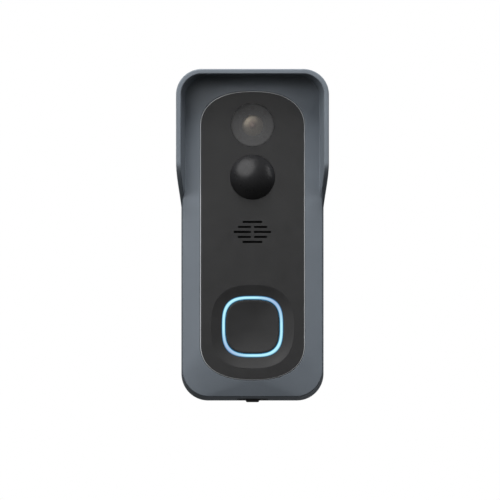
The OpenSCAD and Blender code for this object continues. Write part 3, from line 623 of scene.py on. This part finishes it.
materials = {
    "shell": shell_material(),
    "bracket": moulded("bracket_plastic", (0.03, 0.031, 0.033), 0.55, 0.4, 0.02),
    "latch": moulded("latch_plastic", (0.012, 0.012, 0.012), 0.45),
    "steel": metal("plated_steel", (0.6, 0.6, 0.6)),
    "spring": metal("spring_wire", (0.62, 0.62, 0.63), 0.25, (1, 1, 1)),
    "seal": moulded("silicone_black", (0.012, 0.012, 0.012), 0.7, 0.5, 0.02, 0.1, 0.3),
    "panel": panel_material("panel_plastic", PANEL_COLOUR, 0.42),
    "tape": moulded("foam_tape", (0.03, 0.03, 0.03), 0.85, 0.3, 0.06, 0.1, 0.2),
    "window": window_material(),
    "barrel": moulded("barrel_black", (0.01, 0.01, 0.01), 0.5),
    "lens": lens_material(),
    "filter": moulded("filter_glass", (0.06, 0.2, 0.2), 0.12, 1.0, 0.001),
    "coil": moulded("potted_coil", (0.3, 0.13, 0.04), 0.3, 0.3, 0.02, 0.12),
    "chip": moulded("moulded_epoxy", (0.014, 0.014, 0.016), 0.6, 0.2, 0.015),
    "board": circuit("green_board", (0.01, 0.075, 0.028), (0.03, 0.16, 0.06)),
    "led_board": circuit("black_board", (0.008, 0.008, 0.009), (0.02, 0.02, 0.02)),
    "flex": circuit("polyimide", (0.32, 0.12, 0.02), (0.5, 0.25, 0.08)),
    "led": moulded("led_white", (0.75, 0.74, 0.66), 0.35, 0.3, 0.01),
    "ir_led": moulded("led_dark", (0.03, 0.01, 0.012), 0.2, 0.5, 0.003),
    "dome": dome_material(),
    "speaker": moulded("speaker_plastic", (0.02, 0.02, 0.02), 0.5),
    "cone": moulded("coated_paper", (0.05, 0.05, 0.05), 0.8, 0.5, 0.04, 0.15, 0.2),
    "mesh": woven("speaker_cloth", (0.01, 0.01, 0.01)),
    "button": panel_material("button_plastic", BUTTON_COLOUR, 0.42),
    "ring": ring_material(),
    "silicone": moulded("silicone_grey", (0.16, 0.16, 0.17), 0.6, 0.5, 0.02, 0.08, 0.35),
    "ivory": moulded("nylon", (0.62, 0.57, 0.44), 0.5, 0.4, 0.01),
    "cell": moulded("shrink_sleeve", (0.02, 0.09, 0.26), 0.22, 2.5, 0.01, 0.08),
    "cradle": moulded("cradle_plastic", (0.02, 0.02, 0.021), 0.5, 0.3, 0.015),
    "wire": moulded("wire_black", (0.012, 0.012, 0.012), 0.45, 0.3, 0.01),
    "lead": moulded("wire_red", (0.28, 0.012, 0.012), 0.4, 0.3, 0.01),
    "cover": moulded("cover_rubber", (0.2, 0.2, 0.205), 0.62, 0.3, 0.02, 0.08, 0.3),
}
# The panel's edge material paints a highlight line in a light colour
painted_highlight_material = panel_material("panel_painted_highlight", PANEL_PAINTED_HIGHLIGHT, 0.35)


def finish_piece(piece, slot, body_name, *nodes):
    """Gives a piece its material and its body, and hides the CAD nodes that it stands for."""
    if not piece.data.materials:
        piece.data.materials.append(materials[slot])
    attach(piece, body_name)
    if nodes:
        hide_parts(*nodes)
    return piece


# ---- Front shell with the rain hood ----

@functools.cache
def hood_foot(inset):
    """(x, z) outline of the hood's inside where it meets the face, drawn in by inset."""
    return rounded(HOOD_FOOT_HALF - inset, HOOD_FOOT_LOW + inset, HOOD_FOOT_TOP - inset,
                   HOOD_FOOT_R - inset)


@functools.cache
def side_points(d):
    """The body's outline at depth d, kept for reuse."""
    return body(d)


def front_shell():
    """Face, front half of the side walls and the hood, as one skin of columns round the body."""
    root = body(HOOD_ROOT_D)
    rim = rounded(HOOD_HALF, mix(BODY_LOW, FACE_LOW, body_share(HOOD_ROOT_D)), HOOD_TOP,
                  RIM_CORNER_R)
    rim_inner = rounded(HOOD_HALF - RIM_T, HOOD_FOOT_LOW, HOOD_TOP - RIM_T - 0.05, RIM_INSIDE_R)
    face_inner = hood_foot(0)
    plain = {inset: body(EDGE_D, inset) for inset in (0, 0.06, 0.2, 0.5)}
    count = len(root)
    columns = []
    for i in range(count):
        share = smooth((root[i][1] - SWEEP_END) / (SWEEP_TOP - SWEEP_END))
        crest_d = mix(HOOD_ROOT_D, RIM_D, share)
        hooded = smooth((crest_d - FACE_D + HOOD_START) / HOOD_PART)

        def point(shape, d):
            return Vector((shape[i][0], -d, shape[i][1]))

        def outer(d):
            t = (d - HOOD_ROOT_D) / (RIM_D - HOOD_ROOT_D)
            return point(root, d).lerp(point(rim, d), t)

        def inner(d):
            t = (d - FOOT_D) / (RIM_D - FOOT_D)
            side = point(side_points(round(min(d, EDGE_D), 4)), d)
            hood = point(face_inner, d).lerp(point(rim_inner, d), t)
            return side.lerp(hood, hooded)

        across = inner(crest_d) - outer(crest_d)
        thick = across.length
        r = min(RIM_EDGE_R, thick * 0.45)
        folded = smooth(thick / 0.8)
        column = [outer(mix(HOOD_ROOT_D, crest_d - r, 0.5))]
        turn = [math.radians(a) for a in (0, 22.5, 45, 67.5, 90)]
        edge = [(r * (1 - math.cos(a)), r * (1 - math.sin(a))) for a in turn]
        crest = edge + [(thick - x, drop) for x, drop in reversed(edge)]
        for k, (x, drop) in enumerate(crest):
            p = outer(crest_d - drop) if thick < 1e-6 else outer(crest_d) + across * (x / thick)
            spread = (1 - folded) * CREST_SPREAD * k
            p.y = -(crest_d - drop * folded + spread)
            column.append(p)
        last_d = -column[-1].y
        wall_d = mix((last_d + EDGE_D) / 2, (crest_d - r + FOOT_D + 0.6) / 2, hooded)
        column.append(inner(wall_d))
        # Inset and depth of the body's round edge, then height and inset of the hood's fillet
        fillet = [(0, EDGE_D, 0.6, 0), (0.06, EDGE_D + 0.35, 0.25, 0.06),
                  (0.2, EDGE_D + 0.58, 0.08, 0.2), (0.5, FOOT_D, 0, 0.5)]
        for plain_inset, plain_d, hood_up, hood_in in fillet:
            p = point(plain[plain_inset], plain_d)
            q = point(hood_foot(hood_in), FOOT_D + hood_up)
            column.append(p.lerp(q, hooded))
        columns.append(column)
    middle = [[column[k] for column in columns] for k in range(len(columns[0]))]
    rings = [
        at_depth(body(SEAM_D, 0.25), SEAM_D),
        at_depth(body(SEAM_D + 0.25), SEAM_D + 0.25),
        at_depth(body(20), 20),
        at_depth(root, HOOD_ROOT_D - 0.3),
    ]
    rings += middle
    rings += [
        at_depth(arched(0.5), FACE_D),
        at_depth(arched(0.28), FACE_D),
        at_depth(arched(0.1), FACE_D - 0.2),
        at_depth(arched(0.1), PANEL_BACK_D - 0.2),
        at_depth(arched(-2.5), PANEL_BACK_D - 0.2),
        at_depth(arched(-2.5), FACE_D - 2.5),
        at_depth(body(FACE_D - 2.5, WALL), FACE_D - 2.5),
        at_depth(body(SEAM_D, WALL), SEAM_D),
    ]
    piece = loft("front_shell", rings, loop=True)
    shade(piece, 38)
    flatten_normals(piece)
    return finish_piece(piece, "shell", "housing", "front_housing")


# ---- Rear shell ----

def rear_shell():
    """Back half of the body, with the slots and bores of the back and the port's pocket."""
    rings = [
        at_depth(body(BACK_D, 1.5), BACK_D),
        at_depth(body(BACK_D, 1.2), BACK_D),
        at_depth(body(BACK_D, 0.6), BACK_D + 0.12),
        at_depth(body(BACK_D, 0.25), BACK_D + 0.35),
        at_depth(body(BACK_D, 0.06), BACK_D + 0.7),
        at_depth(body(BACK_D + 1.2), BACK_D + 1.2),
        at_depth(body(SEAM_D - 0.25), SEAM_D - 0.25),
        at_depth(body(SEAM_D, 0.25), SEAM_D),
        at_depth(body(SEAM_D, WALL), SEAM_D),
        at_depth(body(BACK_D + 1.6, WALL), BACK_D + 1.6),
    ]
    piece = loft("rear_shell", rings)
    before = BACK_D - 1
    inside = BACK_D + 3
    cutters = []
    for left, right in ((-HOOK_SLOT_X[1], -HOOK_SLOT_X[0]), HOOK_SLOT_X):
        cutters.append(loft("hook_slot", [
            at_depth(box_outline(left, right, *HOOK_SLOT_Z), d) for d in (before, inside)]))
    cutters.append(loft("latch_slot", [
        at_depth(box_outline(-LATCH_SLOT_HALF, LATCH_SLOT_HALF, *LATCH_SLOT_Z), d)
        for d in (before, inside)]))
    for x in (-SCREW_X, SCREW_X):
        for z in SCREW_ROWS:
            cutters.append(loft("screw_well", [
                at_depth(circle(SCREW_SINK_R, z, x, 48), BACK_D - 0.8),
                at_depth(circle(SCREW_BORE_R, z, x, 48), BACK_D + 0.15),
                at_depth(circle(SCREW_BORE_R, z, x, 48), BACK_D + 1.5)]))
    cutters.append(loft("reset_bore", [
        at_depth(circle(RESET_BORE_R, RESET_Z, RESET_X, 48), d) for d in (before, inside)]))
    cutters.append(loft("port_pocket", [
        at_depth(box_outline(-POCKET_HALF, POCKET_HALF, BELOW_BODY, POCKET_CEILING), d)
        for d in POCKET_D]))
    cutters.append(loft("port_opening", [
        at_depth(box_outline(-PORT_HALF, PORT_HALF, BELOW_BODY, PORT_TOP), d) for d in PORT_D]))
    cut(piece, cutters)
    shade(piece, 38)
    flatten_normals(piece)
    return finish_piece(piece, "shell", "housing", "rear_housing")


# ---- Front panel ----

def panel():
    """The dark panel: arched outline with a light edge of painted highlight, bores, slots and the dish."""
    edge = 0.3
    gap = 0.03
    steps = 8
    rings = [
        at_depth(arched(), PANEL_BACK_D),
        at_depth(arched(), PANEL_D - edge),
        at_depth(arched(-edge * 0.3), PANEL_D - edge * 0.3),
        at_depth(arched(-edge), PANEL_D),
    ]
    piece = loft("dark_panel", rings)
    piece.data.materials.append(materials["panel"])
    piece.data.materials.append(painted_highlight_material)
    for face in piece.data.polygons:
        # The slanted faces are the edge's and get its painted highlight: they look neither forward nor
        # sideways
        face.material_index = 1 if -0.97 < face.normal.y < -0.2 else 0
    cutters = [
        bore(lambda g: circle(WINDOW_R + gap + g, CAMERA_Z), "window_bore",
             PANEL_BACK_D - 1, PANEL_D, 0.05),
        bore(lambda g: circle(DOME_R + gap + g, PIR_Z), "dome_bore",
             PANEL_BACK_D - 1, PANEL_D, 0.05),
    ]
    for row in range(-2, 3):
        z = GRILLE_Z + row * SLOT_PITCH
        for x, length in SLOT_ROWS[abs(row)]:
            cutters.append(bore(
                lambda g, x=x, z=z, length=length: stadium(x, z, length + 2 * g, SLOT_H + 2 * g),
                "speaker_slot", PANEL_BACK_D - 1, PANEL_D, 0.08))
    reach = RING_OUTER / DISH_R
    dish = [at_depth(squircle(RING_OUTER + gap, RING_N, BUTTON_Z), PANEL_BACK_D - 1)]
    for k in range(steps + 1):
        share = mix(reach, 1.03, k / steps)
        n = mix(RING_N, DISH_N, smooth(k / (steps - 1)))
        half_w = DISH_R * share + (gap if k == 0 else 0)
        dish.append(at_depth(squircle(half_w, n, BUTTON_Z), dish_d(share)))
    cutters.append(loft("dish_cut", dish))
    cut(piece, cutters)
    shade(piece, 20)
    flatten_normals(piece)
    return finish_piece(piece, "panel", "housing", "front_panel")


# ---- Camera and motion sensor ----

def turned(name, profile, z0, steps=128, capped=True):
    """A piece turned round the depth axis at height z0, from its (radius, depth) profile."""
    rings = [at_depth(circle(max(r, 0.001), z0, 0, steps), d) for r, d in profile]
    return loft(name, rings, loop=not capped)


def window():
    """Smoked disc, with a small rounded edge."""
    back = -high("lens_window").y
    front = -low("lens_window").y
    profile = [(WINDOW_R, back), (WINDOW_R, front - 0.15), (WINDOW_R - 0.05, front - 0.05),
               (WINDOW_R - 0.15, front)]
    piece = turned("camera_window", profile, CAMERA_Z)
    shade(piece, 35)
    flatten_normals(piece)
    return finish_piece(piece, "window", "housing", "lens_window")


def lens():
    """Front glass of the lens: a domed front on a short drum."""
    r = high("lens_front_element").x
    back = -high("lens_front_element").y
    front = -low("lens_front_element").y
    ball = 9.5
    steps = 16
    profile = [(r, back)]
    for k in range(steps + 1):
        reach = r * math.cos(math.pi / 2 * k / steps)
        profile.append((reach, front - ball + math.sqrt(ball ** 2 - reach ** 2)))
    piece = turned("lens_glass", profile, CAMERA_Z, 96)
    shade(piece, 40)
    return finish_piece(piece, "lens", "housing", "lens_front_element")


def dome():
    """Dome of the motion sensor on its skirt and flange."""
    dome_h = DOME_TIP_D - PANEL_D
    ball = (DOME_R ** 2 + dome_h ** 2) / (2 * dome_h)
    flange_r = high("pir_lens").x
    back = -high("pir_lens").y
    flange_t = 1.2
    steps = 24
    profile = [(flange_r, back), (flange_r, back + flange_t), (DOME_R, back + flange_t),
               (DOME_R, PANEL_D)]
    for k in range(1, steps + 1):
        reach = DOME_R * math.cos(math.pi / 2 * k / steps)
        profile.append((reach, DOME_TIP_D - ball + math.sqrt(ball ** 2 - reach ** 2)))
    piece = turned("sensor_dome", profile, PIR_Z, 128)
    shade(piece, 60)
    return finish_piece(piece, "dome", "housing", "pir_lens")


# ---- Button and its ring ----

def button():
    """Dished button with a small rounded edge."""
    edge = 0.2
    rings = [
        at_depth(squircle(CAP_HALF - 0.2, RING_N, BUTTON_Z), CAP_BACK_D),
        at_depth(squircle(CAP_HALF, RING_N, BUTTON_Z), CAP_BACK_D + 0.2),
    ]
    top = dish_d(CAP_HALF / DISH_R)
    rings.append(at_depth(squircle(CAP_HALF, RING_N, BUTTON_Z), top - edge))
    rings.append(at_depth(squircle(CAP_HALF - edge * 0.3, RING_N, BUTTON_Z), top - edge * 0.3))
    steps = 16
    for k in range(steps + 1):
        share = 1 - k / steps
        reach = (CAP_HALF - edge) * share
        n = mix(DISH_N, RING_N, share)
        rings.append(at_depth(squircle(max(reach, 0.02), n, BUTTON_Z), dish_d(reach / DISH_R)))
    piece = loft("button_face", rings)
    shade(piece, 30)
    return finish_piece(piece, "button", "button", "button_cap")


def ring():
    """Light guide round the button, crowned a little in front."""
    top = -low("light_ring").y
    profile = [
        (RING_OUTER, RING_BACK_D), (RING_OUTER, top - 0.5), (RING_OUTER - 0.2, top - 0.22),
        (RING_OUTER - 0.45, top), (RING_INNER + 0.45, top), (RING_INNER + 0.2, top - 0.22),
        (RING_INNER, top - 0.5), (RING_INNER, RING_BACK_D),
    ]
    rings = [at_depth(squircle(a, RING_N, BUTTON_Z), d) for a, d in profile]
    piece = loft("ring_guide", rings, loop=True)
    shade(piece, 50)
    return finish_piece(piece, "ring", "housing", "light_ring")


# ---- Port cover ----

def port_cover():
    """Rubber cover with a soft edge, its plug and the pull lip."""
    half_w = COVER_HIGH.x
    top = COVER_LOW.z + 1.9
    bottom = COVER_LOW.z + 1.05
    back = -COVER_HIGH.y
    front = -COVER_LOW.y

    def slab(reach, d0, d1, z):
        return [Vector((x, -d, z)) for x, d in
                ((reach, d0), (reach, d1), (-reach, d1), (-reach, d0))]

    plate = loft("port_cover", [
        slab(half_w - 0.25, back + 0.25, front - 0.25, bottom),
        slab(half_w, back, front, bottom + 0.2),
        slab(half_w, back, front, top - 0.1),
        slab(half_w - 0.1, back + 0.1, front - 0.1, top)])
    plug = loft("port_plug", [
        slab(4.3, 10.6, 13, top - 0.05),
        slab(4.3, 10.6, 13, COVER_HIGH.z - 0.3),
        slab(4.0, 10.9, 12.7, COVER_HIGH.z)])
    lip = loft("port_lip", [
        slab(3.2, 13.2, front, bottom + 0.1),
        slab(2.75, 13.3, front - 0.05, COVER_LOW.z + 0.25),
        slab(2.4, 13.6, front - 0.3, COVER_LOW.z)])
    for piece in (plate, plug, lip):
        bevel = piece.modifiers.new("bevel", "BEVEL")
        bevel.width = 0.12 * MM
        bevel.segments = 3
        bevel.limit_method = "ANGLE"
        shade(piece, 60)
        flatten_normals(piece)
    finish_piece(plug, "cover", "port_cover")
    finish_piece(lip, "cover", "port_cover")
    return finish_piece(plate, "cover", "port_cover", "usb_cover")


# ---- Latch spring ----

def coil_spring():
    """Coil spring between the latch and the top of its window, made as one fixed coil; the latch presses it
    together as it slides up.
    """
    foot = low("latch_spring")
    head = high("latch_spring")
    wire_r = 0.15
    turns = 5
    turn_steps = 24
    wire_steps = 10
    coil_r = head.x - wire_r
    axis_d = -(foot.y + head.y) / 2
    up = Vector((0, 0, 1))
    rings = []
    for i in range(turns * turn_steps + 1):
        angle = 2 * math.pi * i / turn_steps
        out = Vector((math.cos(angle), math.sin(angle), 0))
        z = mix(foot.z + wire_r, head.z - wire_r, i / (turns * turn_steps))
        middle = Vector((0, -axis_d, z)) + out * coil_r
        rings.append([middle + out * (wire_r * math.cos(a)) + up * (wire_r * math.sin(a))
                      for a in (2 * math.pi * k / wire_steps for k in range(wire_steps))])
    piece = loft("coil_spring", rings)
    shade(piece, 60)
    finish_piece(piece, "spring", "bracket", "latch_spring")
    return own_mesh(piece)


def dress_cad_nodes():
    """Gives every carried-over CAD node its material, and a small bevel where its edges show."""
    slots = {part["node"]: part["material_slot"] for part in frame["record"]["subparts"]}
    bevelled = {"wall_bracket": 0.35, "bracket_latch": 0.25, "lens_barrel": 0.12, "ir_baffle": 0.1,
                "usb_socket": 0.15, "battery_cradle": 0.4, "pir_retainer": 0.2,
                "battery_cell_left": 0.5, "battery_cell_right": 0.5}
    for name, node in frame["nodes"].items():
        node.data.materials.clear()
        node.data.materials.append(materials[slots[name]])
        shade(node, 32)
        if name in bevelled:
            bevel = node.modifiers.new("bevel", "BEVEL")
            bevel.width = bevelled[name] * MM
            bevel.segments = 3
            bevel.limit_method = "ANGLE"
            bevel.angle_limit = math.radians(50)
            flatten_normals(node)


# ---- Scene, in metres ----
WORLD_LIGHT = 0.05
FLOOR_DROP = 0.5
FLOOR_HALF = 0.25
LIGHT_FAR = 0.9
LIGHT_NEAR = 0.6
CAMERA_FAR = 2.4
CAMERA_X = -0.00107
CAMERA_HEIGHT = -0.00648
HALF_VIEW = 0.107
SENSOR_W = 36


def softbox(name, azimuth, elevation, distance, wide, tall, power):
    """A soft oval light. Azimuth is degrees to the right of straight in front, and sizes are metres."""
    light = bpy.data.lights.new(name, "AREA")
    light.shape = "ELLIPSE"
    light.size = wide
    light.size_y = tall
    light.energy = power
    lamp = bpy.data.objects.new(name, light)
    bpy.context.scene.collection.objects.link(lamp)
    side, up = math.radians(azimuth), math.radians(elevation)
    away = Vector((math.sin(side) * math.cos(up), -math.cos(side) * math.cos(up), math.sin(up)))
    lamp.location = away * distance
    lamp.visible_camera = False
    lamp.rotation_mode = "QUATERNION"
    lamp.rotation_quaternion = (-away).to_track_quat("-Z", "Y")
    return lamp


def studio():
    """White surroundings, a pale floor well below the doorbell, and soft lights."""
    world = bpy.data.worlds.new("studio")
    bpy.context.scene.world = world
    world.use_nodes = True
    tree = world.node_tree
    background = tree.nodes["Background"]
    background.inputs["Color"].default_value = (1, 1, 1, 1)
    background.inputs["Strength"].default_value = WORLD_LIGHT
    seen = tree.nodes.new("ShaderNodeBackground")
    seen.inputs["Color"].default_value = (1, 1, 1, 1)
    seen.inputs["Strength"].default_value = 1.0
    path = tree.nodes.new("ShaderNodeLightPath")
    chosen = tree.nodes.new("ShaderNodeMixShader")
    tree.links.new(path.outputs["Is Camera Ray"], chosen.inputs["Fac"])
    tree.links.new(background.outputs["Background"], chosen.inputs[1])
    tree.links.new(seen.outputs["Background"], chosen.inputs[2])
    tree.links.new(chosen.outputs["Shader"], tree.nodes["World Output"].inputs["Surface"])

    corners = [(-FLOOR_HALF, -FLOOR_HALF), (FLOOR_HALF, -FLOOR_HALF),
               (FLOOR_HALF, FLOOR_HALF), (-FLOOR_HALF, FLOOR_HALF)]
    floor = make("floor", [Vector((x, y, cad_low.z - FLOOR_DROP)) / MM for x, y in corners],
                 [(0, 1, 2, 3)])
    pale = Shader("pale_floor")
    pale.link(pale.ramp(pale.noise(120), (0.86, 0.86, 0.86), (0.9, 0.9, 0.9)),
              pale.bsdf.inputs["Base Color"])
    pale.set(Roughness=0.8)
    floor.data.materials.append(pale.material)
    floor.visible_glossy = False
    floor.visible_diffuse = False

    fills = [
        softbox("key", -22, 35, LIGHT_FAR, 0.5, 0.5, 1.7),
        softbox("overhead", -4, 68, LIGHT_FAR, 0.6, 0.4, 12.6),
        softbox("left", -62, 18, LIGHT_FAR, 0.5, 0.5, 2.7),
        softbox("right", 58, 18, LIGHT_FAR, 0.5, 0.5, 1.2),
        softbox("back", 170, 30, LIGHT_FAR, 0.6, 0.6, 5.0),
        softbox("below", 150, -40, LIGHT_FAR, 0.5, 0.5, 2.0),
    ]
    mirrored = [
        softbox("sheen", -30, 36, LIGHT_FAR, 1.1, 1.1, 5.6),
        softbox("strip", 66, 22, LIGHT_NEAR, 0.05, 0.4, 0.2),
    ]
    # Glossy faces mirror the sheen and the strip alone, and neither of those lights a matt face
    for lamp in fills:
        lamp.visible_glossy = False
    for lamp in mirrored:
        lamp.visible_diffuse = False


def camera():
    """A long lens level with the body, straight in front of it."""
    data = bpy.data.cameras.new("camera")
    data.sensor_width = SENSOR_W
    data.lens = SENSOR_W / 2 * CAMERA_FAR / HALF_VIEW
    eye = bpy.data.objects.new("camera", data)
    bpy.context.scene.collection.objects.link(eye)
    eye.location = (CAMERA_X, -FACE_D * MM - CAMERA_FAR, CAMERA_HEIGHT)
    eye.rotation_euler = (math.pi / 2, 0, 0)
    data.clip_end = 20
    bpy.context.scene.camera = eye


dress_cad_nodes()
front_shell()
rear_shell()
panel()
window()
lens()
dome()
button()
ring()
port_cover()
coil_spring()
studio()
camera()
bpy.context.scene.view_settings.view_transform = "Standard"
